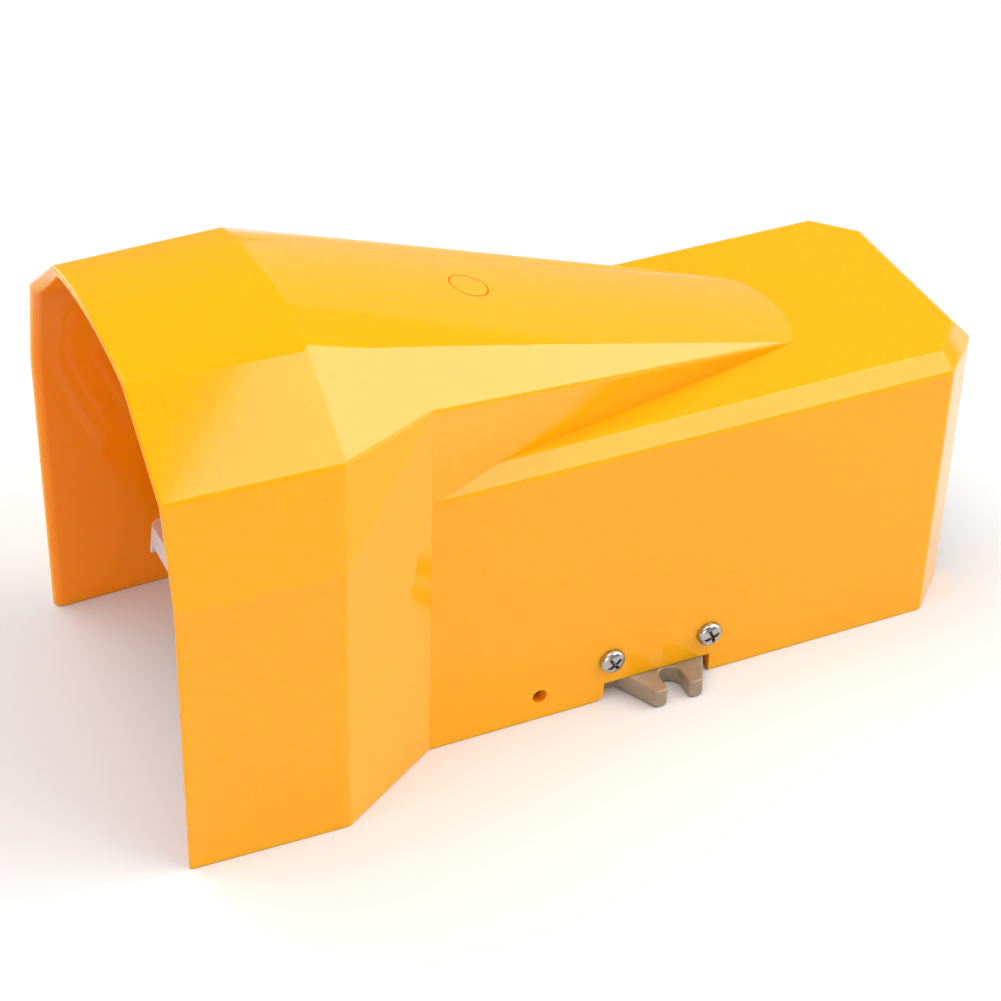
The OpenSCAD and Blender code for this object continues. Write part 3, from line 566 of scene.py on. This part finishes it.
# %% [markdown]
# ## Hood
# The mouth of the hood is where a shoe goes in, so its inner edge has a much wider radius than the rest.
# The bevel takes one width, so the inner edge carries it in full and every other edge a share of it. The
# mould mark on the ridge is too fine to be rounded, and the wall beside the rear window too narrow.

# %% Rounded hood
MOUTH_ROUND = 2.6 * MM
HOOD_ROUND = 0.8 * MM
HOOD_SHARP = 8  # degrees
HOOD_WELD = 1.7 * MM
HOOD_ABOVE = 20 * MM
HOOD_CORE = np.array([0, 0, 40 * MM])
ON_PLANE = 0.1 * MM
LOOKS_IN = 0.5 * MM
MARK_ZONE = zone((-8, -30, 100), (8, -8, 140))
WINDOW_ZONE = zone((-30, 118, -1), (30, 119, 85))
mouth_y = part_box("cover")[0].y


def inner_rim(edge):
    """Whether an edge lies in the mouth's plane and one of its faces looks into the hood."""
    if any(abs(vert.co.y - mouth_y) > ON_PLANE for vert in edge.verts):
        return False
    middle = edge_middle(edge)
    drop = middle.z - HOOD_CORE[2]
    outward = [face.normal.x * middle.x + face.normal.z * drop for face in edge.link_faces]
    return min(outward) < -LOOKS_IN


hood = softened(
    "cover",
    "hood_shell",
    hood_plastic,
    MOUTH_ROUND,
    sharp=HOOD_SHARP,
    weld=HOOD_WELD,
    above=HOOD_ABOVE,
    spare=(MARK_ZONE, WINDOW_ZONE),
    full=inner_rim,
    share=HOOD_ROUND / MOUTH_ROUND,
)

# %% [markdown]
# The painted shade has to know which faces are inside. A second material could be given to them, but the
# plastic is the same all through, so a value on each face says it: a face looks inwards when a point in the
# middle of the hood lies in front of it, and there the finish paints a deeper tone in place of the light
# that bounces inside.

# %% Inner faces of the hood
INNER_CLEAR = 5 * MM


def mark_inside(mesh, core, clear, outer):
    """Sets the painted shade to 1 on the faces that have a point in front of them, by more than a clear
    distance, and to 0 on the rest and on all that lies in an outer zone."""
    normals = np.empty(len(mesh.polygons) * 3, np.float32)
    centres = np.empty_like(normals)
    mesh.polygons.foreach_get("normal", normals)
    mesh.polygons.foreach_get("center", centres)
    places = centres.reshape(-1, 3)
    outward = ((places - core) * normals.reshape(-1, 3)).sum(1)
    on_outside = ((places > outer[0]) & (places < outer[1])).all(1)
    inner = (outward < -clear) & ~on_outside
    painted_shade = mesh.attributes.new("painted_shade", "FLOAT", "FACE")
    painted_shade.data.foreach_set("value", inner.astype(np.float32))
    print("hood has", int(inner.sum()), "inner faces")


# Paints the deeper inside tone on the hood's inner faces.
mark_inside(hood.data, HOOD_CORE, INNER_CLEAR, MARK_ZONE)

# %% [markdown]
# ## Castings
# The base and the pedal come out of a mould too, with rounded edges. Where a hole lies close to an edge the
# two roundings would cross, so the screw holes in the base's flanges and the pedal's prongs stay sharp.

# %% Base and pedal
BASE_ROUND = 0.7 * MM
PEDAL_ROUND = 0.5 * MM
FLANGE_X = 35.6  # millimetres, as in the zones
FLANGE_ZONES = [zone((x - 4, -1, 6), (x + 4, 49, 19.5)) for x in (-FLANGE_X, FLANGE_X)]
PRONG_ZONE = zone((-12, 64, 0), (12, 110, 30))

softened("base_casting", "floor_casting", coated_casting, BASE_ROUND, spare=FLANGE_ZONES)
softened("pedal", "foot_pedal", bare_casting, PEDAL_ROUND, spare=[PRONG_ZONE])

# %% [markdown]
# ## Valve and hinge
# Milled and turned pieces have their edges broken by one to three tenths of a millimetre, and the moulded
# rubber stops by twice that. Most are small and could be left sharp, but a broken edge is what catches
# the light on a turned pin, so each is a softened copy with its own width.

# %% Valve blocks and small pieces
BLOCK_ROUND = 0.25 * MM
STOP_ROUND = 0.6 * MM
RING_ROUND = 0.12 * MM
PIN_ROUND = 0.3 * MM
BUSH_ROUND = 0.2 * MM
GASKET_ROUND = 0.1 * MM

softened("valve_body", "spool_housing", milled_alloy, BLOCK_ROUND)
softened("top_cap", "housing_cap", milled_alloy, BLOCK_ROUND)
softened("stop_buffers", "rubber_stops", black_rubber, STOP_ROUND)
softened("pivot_clips", "retaining_rings", blackened_steel, RING_ROUND)
softened("pivot_pin", "hinge_pin", bright_steel, PIN_ROUND)
softened("contact_pin", "lift_pin", bright_steel, PIN_ROUND)
softened("pivot_bushes", "flanged_bushes", sintered_bronze, BUSH_ROUND)
softened("plunger", "plunger_rod", bright_steel, PIN_ROUND)
softened("plunger_bush", "guide_bush", sintered_bronze, BUSH_ROUND)
softened("top_gasket", "cap_gasket", black_rubber, GASKET_ROUND)
softened("port_gasket", "block_gasket", black_rubber, GASKET_ROUND)

# %% [markdown]
# Some solids are right as they are. The port block's face is crowded with holes, which a bevel would tear,
# and the spool, its seals and the cap's screws sit out of sight. They only get their finish.


# %% Finishes of the solids that stay
def finish_solid(node, finish):
    """Gives every material slot of a solid one finish."""
    for place in nodes[node].material_slots:
        place.material = finish
    print(node, "keeps its solid, in", finish.name)


finish_solid("port_block", milled_alloy)
finish_solid("spool", bright_steel)
finish_solid("spool_seals", black_rubber)
finish_solid("plunger_seal", black_rubber)
finish_solid("top_cap_screws", blackened_steel)

# %% [markdown]
# ## Pan-head screws
# Two bright screws with cross recesses hold each side of the cover, and eight more hold the valve. A head
# is a low dome. A polar grid would cut the recess's straight walls into teeth, so the dome is a square grid
# pressed into a disc: its lines run along the recess, and the walls come out straight. The square's border
# becomes the ring that the shank's grid starts from.

# %% Screw head
HEAD_D = 7.4 * MM
HEAD_H = 2.6 * MM
HEAD_RIM = 0.9 * MM
DOME_POWER = 2.5
RECESS_SPAN = 4.4 * MM
RECESS_W = 0.72 * MM
RECESS_DEPTH = 1.9 * MM
RECESS_WALL = 0.14 * MM
RECESS_RISE = 0.45
RECESS_SHADE = 1.6
FLARE_LINES = np.array([1.0, 1.3, 1.65]) * MM
RIM_LINES = np.array([2.8, 3.1, 3.35, 3.55, 3.7]) * MM


def smooth(x):
    """Rises from 0 to 1 as x does, level at both ends: three times the square of x less twice its cube."""
    x = np.clip(x, 0, 1)
    return x * x * (3 - 2 * x)


def recess_lines():
    """Parameters from -1 to 1 across a head: close together at the recess's walls and ends, and wider
    between them."""
    radius = HEAD_D / 2
    wall = np.array([RECESS_W / 2 - RECESS_WALL, RECESS_W / 2 - RECESS_WALL / 2, RECESS_W / 2])
    foot = np.array([RECESS_W / 2 + RECESS_WALL])
    end = np.array([RECESS_SPAN / 2 - RECESS_WALL, RECESS_SPAN / 2, RECESS_SPAN / 2 + RECESS_WALL])
    half = np.concatenate([wall, foot, FLARE_LINES, end, RIM_LINES]) / radius
    return np.concatenate([-half[::-1], [0], half])


def recess_slot(along, across):
    """How deep one slot of the recess is, from 0 to 1: steep at its two walls and at its ends, with a floor
    that rises towards the ends."""
    radius = HEAD_D / 2
    between_walls = smooth((RECESS_W / 2 + RECESS_WALL - np.abs(across) * radius) / (2 * RECESS_WALL))
    between_ends = smooth((RECESS_SPAN / 2 + RECESS_WALL - np.abs(along) * radius) / (2 * RECESS_WALL))
    floor_level = 1 - RECESS_RISE * np.abs(along) * radius / (RECESS_SPAN / 2)
    return between_walls * between_ends * floor_level


def head_dome():
    """A square grid pressed into a disc: each coordinate is its own parameter times the root of one less
    half the square of the other. The height goes with the root of one less a power of the reach, and two
    crossed slots are pressed in, deepest in the middle. Returns the points and the painted shade of each,
    which darkens the recess in place of real shade."""
    line = recess_lines()
    u, v = np.meshgrid(line, line, indexing="ij")
    radius = HEAD_D / 2
    x = radius * u * np.sqrt(1 - v * v / 2)
    y = radius * v * np.sqrt(1 - u * u / 2)
    reach = np.hypot(x, y) / radius
    height = HEAD_RIM + (HEAD_H - HEAD_RIM) * np.sqrt(np.clip(1 - reach ** DOME_POWER, 0, 1))
    pressed = np.maximum(recess_slot(u, v), recess_slot(v, u))
    # The second value is painted shade that grows with the depth of the recess.
    return np.stack([x, y, height - RECESS_DEPTH * pressed], -1), smooth(pressed * RECESS_SHADE)


def border(grid):
    """The border points of a square grid, once around."""
    return np.concatenate([grid[:-1, 0], grid[-1, :-1], grid[:0:-1, -1], grid[0, :0:-1]])


# %% [markdown]
# The thread is a helix. A profile could be wound along it, but its ends would stay open. A helix is also a
# wave that moves on by one pitch per turn, so the shank is a tube whose radius waves with the depth minus
# the turn, and its rows can stay level.

# %% Screw shank
SCREW_D = 4.0 * MM
SCREW_PITCH = 0.7 * MM
THREAD_DEPTH = 0.30 * MM
ROWS_PER_PITCH = 4
SHANK_CLEAR = 0.35 * MM
HEAD_CHAMFER = 0.1 * MM
HEAD_CHAMFER_H = 0.12 * MM


def screw_shank(ring, length):
    """Rows of the ring's directions: down the rim, under the head, then a helical thread whose radius rises
    and falls once per pitch along the axis and per turn, and a pole at the tip."""
    turn = np.arctan2(ring[:, 1], ring[:, 0])[None, :]
    rows = int(length / SCREW_PITCH) * ROWS_PER_PITCH
    depth = np.linspace(0, length, rows)[:, None]
    wave = np.abs((depth / SCREW_PITCH - turn / (2 * math.pi)) % 1 - 0.5) * 2
    fade = smooth((length - depth) / SCREW_PITCH)
    thread_r = SCREW_D / 2 - THREAD_DEPTH * (1 - wave * fade) - SHANK_CLEAR
    radius = np.concatenate([
        np.full((1, len(ring)), HEAD_D / 2),
        np.full((1, len(ring)), HEAD_D / 2 - HEAD_CHAMFER),
        thread_r,
        np.full((1, len(ring)), 0.0),
    ])
    height = np.concatenate([
        np.full((1, len(ring)), HEAD_CHAMFER_H),
        np.zeros((1, len(ring))),
        np.broadcast_to(-depth, thread_r.shape),
        np.full((1, len(ring)), -length),
    ])
    return np.stack([radius * np.cos(turn), radius * np.sin(turn), height], -1)


def screw_surface(length):
    """Points, faces and painted shade of one screw along +Z, with its seat at zero: the grid of the head,
    then the grid of the shank, which starts with the head's border."""
    dome, pressed = head_dome()
    side = len(dome)
    ring = border(dome)
    shank = np.concatenate([ring[None], screw_shank(ring, length)])
    points = np.concatenate([dome.reshape(-1, 3), shank.reshape(-1, 3)])
    faces = np.concatenate([
        grid_faces(side, side),
        grid_faces(len(shank), len(ring), around=True, first=side * side),
    ])
    painted_shade = np.concatenate([pressed.ravel(), np.zeros(shank[..., 0].size)])
    return points, faces, painted_shade


def screws(name, node, places, length):
    """One piece of several equal screws. A place is a seat, an outward axis and a turn of the recess."""
    points, faces, painted_shade = screw_surface(length)
    placed = []
    for seat, axis, twist in places:
        out = np.array(axis, float)
        side = np.cross(out, (1, 0, 0) if abs(out[1]) > 0.5 else (0, 1, 0))
        side /= np.linalg.norm(side)
        up = np.cross(out, side)
        cosine = math.cos(twist)
        sine = math.sin(twist)
        basis = np.stack([cosine * side + sine * up, cosine * up - sine * side, out])
        placed.append(points @ basis + np.array(seat))
    first = np.arange(len(places))[:, None, None] * len(points)
    all_faces = (faces[None] + first).reshape(-1, 4)
    # The painted shade of the recesses, repeated for each screw.
    all_painted_shades = np.tile(painted_shade, len(places))
    piece = new_piece(name, np.stack(placed), all_faces, bright_steel, "frame", all_painted_shades)
    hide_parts(node)


# %% [markdown]
# The cover's four screws are the ones that everyone sees. They sit in the middle of the solids' heads, and
# the turn of each recess follows the photograph.

# %% Cover screws
COVER_SCREW_L = 11.6 * MM
COVER_TURNS = (0.62, 0.35)

low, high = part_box("cover_screws")
screw_ys = (low.y + HEAD_D / 2, high.y - HEAD_D / 2)
screw_z = (low.z + high.z) / 2
seat_x = high.x - HEAD_H
cover_places = [
    ((side * seat_x, y, screw_z), (side, 0, 0), twist)
    for side in (1, -1)
    for y, twist in zip(screw_ys, COVER_TURNS)
]
screws("cover_pan_screws", "cover_screws", cover_places, COVER_SCREW_L)

# %% [markdown]
# Four screws hold the housing from under the base, and four hold the port block. A screw stops where it is
# tight, so each recess has a turn of its own: a start, and so much more for each metre of its place.

# %% Screws of the valve
UNDER_TURN = (0.3, 40, 50)
BLOCK_TURN = (0.5, 30, 60)


def recess_turn(turn, across, along):
    """The turn of a recess in radians: a start plus a share of each of the screw's two places."""
    return turn[0] + turn[1] * across + turn[2] * along


low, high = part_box("valve_screws")
under_places = [
    ((x, y, low.z + HEAD_H), (0, 0, -1), recess_turn(UNDER_TURN, x, y))
    for x in (low.x + HEAD_D / 2, high.x - HEAD_D / 2)
    for y in (low.y + HEAD_D / 2, high.y - HEAD_D / 2)
]
screws("base_to_valve_screws", "valve_screws", under_places, high.z - low.z - HEAD_H)

low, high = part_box("port_block_screws")
block_places = [
    ((x, low.y + HEAD_H, z), (0, -1, 0), recess_turn(BLOCK_TURN, x, z))
    for x in (low.x + HEAD_D / 2, high.x - HEAD_D / 2)
    for z in (low.z + HEAD_D / 2, high.z - HEAD_D / 2)
]
screws("block_pan_screws", "port_block_screws", block_places, high.y - low.y - HEAD_H)

# %% [markdown]
# ## Springs
# A coil spring is a round wire carried along a helix. Its end turns lie closed and flat, so the pitch is
# small at both ends and wide between. A screw modifier could wind it, but only with one pitch all along.


# %% Coil springs
CLOSED_TURNS = 0.75
CLOSED_RISE = 0.12


def coil(outer_d, wire, turns, foot, height, centre, sides=12, steps=40):
    """A circle carried along a helix: one parameter runs along the coil and one round the wire. The rise is
    slow over the end turns and steady between them, so that the ends are closed."""
    along = np.linspace(0, 1, int(turns * steps) + 1)[:, None]
    around = np.linspace(0, 2 * math.pi, sides, endpoint=False)[None, :]
    angle = 2 * math.pi * turns * along
    closed = CLOSED_TURNS / turns
    open_part = np.clip((along - closed) / (1 - 2 * closed), 0, 1)
    rise = CLOSED_RISE * along + (1 - CLOSED_RISE) * open_part
    radius = (outer_d - wire) / 2 + wire / 2 * np.cos(around)
    x = centre[0] + radius * np.cos(angle)
    y = centre[1] + radius * np.sin(angle)
    z = foot + wire / 2 + (height - wire) * rise + wire / 2 * np.sin(around)
    return np.stack([x, y, z], -1)


def spring(name, node, wire, turns):
    """A coil that fills a node's box, closed at both ends by a pole."""
    low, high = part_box(node)
    centre = ((low.x + high.x) / 2, (low.y + high.y) / 2)
    tube = coil(high.x - low.x, wire, turns, low.z, high.z - low.z, centre)
    first = np.broadcast_to(tube[:1].mean(1, keepdims=True), tube[:1].shape)
    last = np.broadcast_to(tube[-1:].mean(1, keepdims=True), tube[-1:].shape)
    tube = np.concatenate([first, tube, last])
    piece = new_piece(name, tube, grid_faces(*tube.shape[:2], around=True), spring_steel, "frame")
    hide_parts(node)
    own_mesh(piece)


# %% [markdown]
# The pedal's spring is stout and stands on the base, and the spool's is thin and sits under the cap. The
# pressed tread tilts, so the pedal's spring keeps a little less than the room under the tread's middle.

# %% Pedal spring and spool spring
PEDAL_WIRE = 1.8 * MM
PEDAL_TURNS = 6
SPOOL_WIRE = 0.8 * MM
SPOOL_TURNS = 10

spring("return_spring", "pedal_spring", PEDAL_WIRE, PEDAL_TURNS)
spring("spool_coil", "spool_spring", SPOOL_WIRE, SPOOL_TURNS)

# %% [markdown]
# ## Port threads
# Each port takes a screwed hose fitting. The solids hold only the tapping hole, and a thread cut into them
# would tear the block's flat face into slivers. So a thin threaded sleeve lines each hole: a tube whose
# radius waves once per pitch and per turn, fading out at both ends.

# %% Threads in the five ports
PORT_PITCH = 1.337 * MM
PORT_THREAD = 0.55 * MM
SLEEVE_GAP = 0.01 * MM
SLEEVE_WALL = 0.1 * MM
SLEEVE_SHORT = 0.4 * MM


def port_thread(place, radius, length, rows=72, columns=48):
    """A sleeve along Y: its inner radius is the hole's less a triangular wave of the height along it minus
    the turn, which fades at both ends, and its outer wall lies a little way into the metal. The rows run
    along the inside, back along the outside and close on the first."""
    depth = np.linspace(-0.5, 0.5, rows)[:, None] * length
    turn = np.linspace(0, 2 * math.pi, columns, endpoint=False)[None, :]
    wave = 1 - 2 * np.abs((depth / PORT_PITCH - turn / (2 * math.pi)) % 1 - 0.5)
    fade = smooth((length / 2 - np.abs(depth)) / PORT_PITCH)
    inner = radius - SLEEVE_GAP - PORT_THREAD * wave * fade
    outer = np.full((2, columns), radius + SLEEVE_WALL)
    reach = np.concatenate([inner, outer, inner[:1]])
    y = np.broadcast_to(place[1] + np.concatenate([depth, depth[[-1, 0, 0]]]), reach.shape)
    return np.stack([place[0] + reach * np.cos(turn), y, place[2] + reach * np.sin(turn)], -1)


ports = [mount for mount in frame["record"]["mounts"] if mount["kind"] == "threaded_hole"]
sleeves = np.stack([
    port_thread(port["pos_m"], port["dims"]["r_mm"] * MM, port["dims"]["length_mm"] * MM - SLEEVE_SHORT)
    for port in ports
])
sleeve_faces = np.concatenate([
    grid_faces(*sleeves.shape[1:3], around=True, first=place * sleeves[0][..., 0].size)
    for place in range(len(sleeves))
])
new_piece("port_threads", sleeves, sleeve_faces, milled_alloy, "frame")
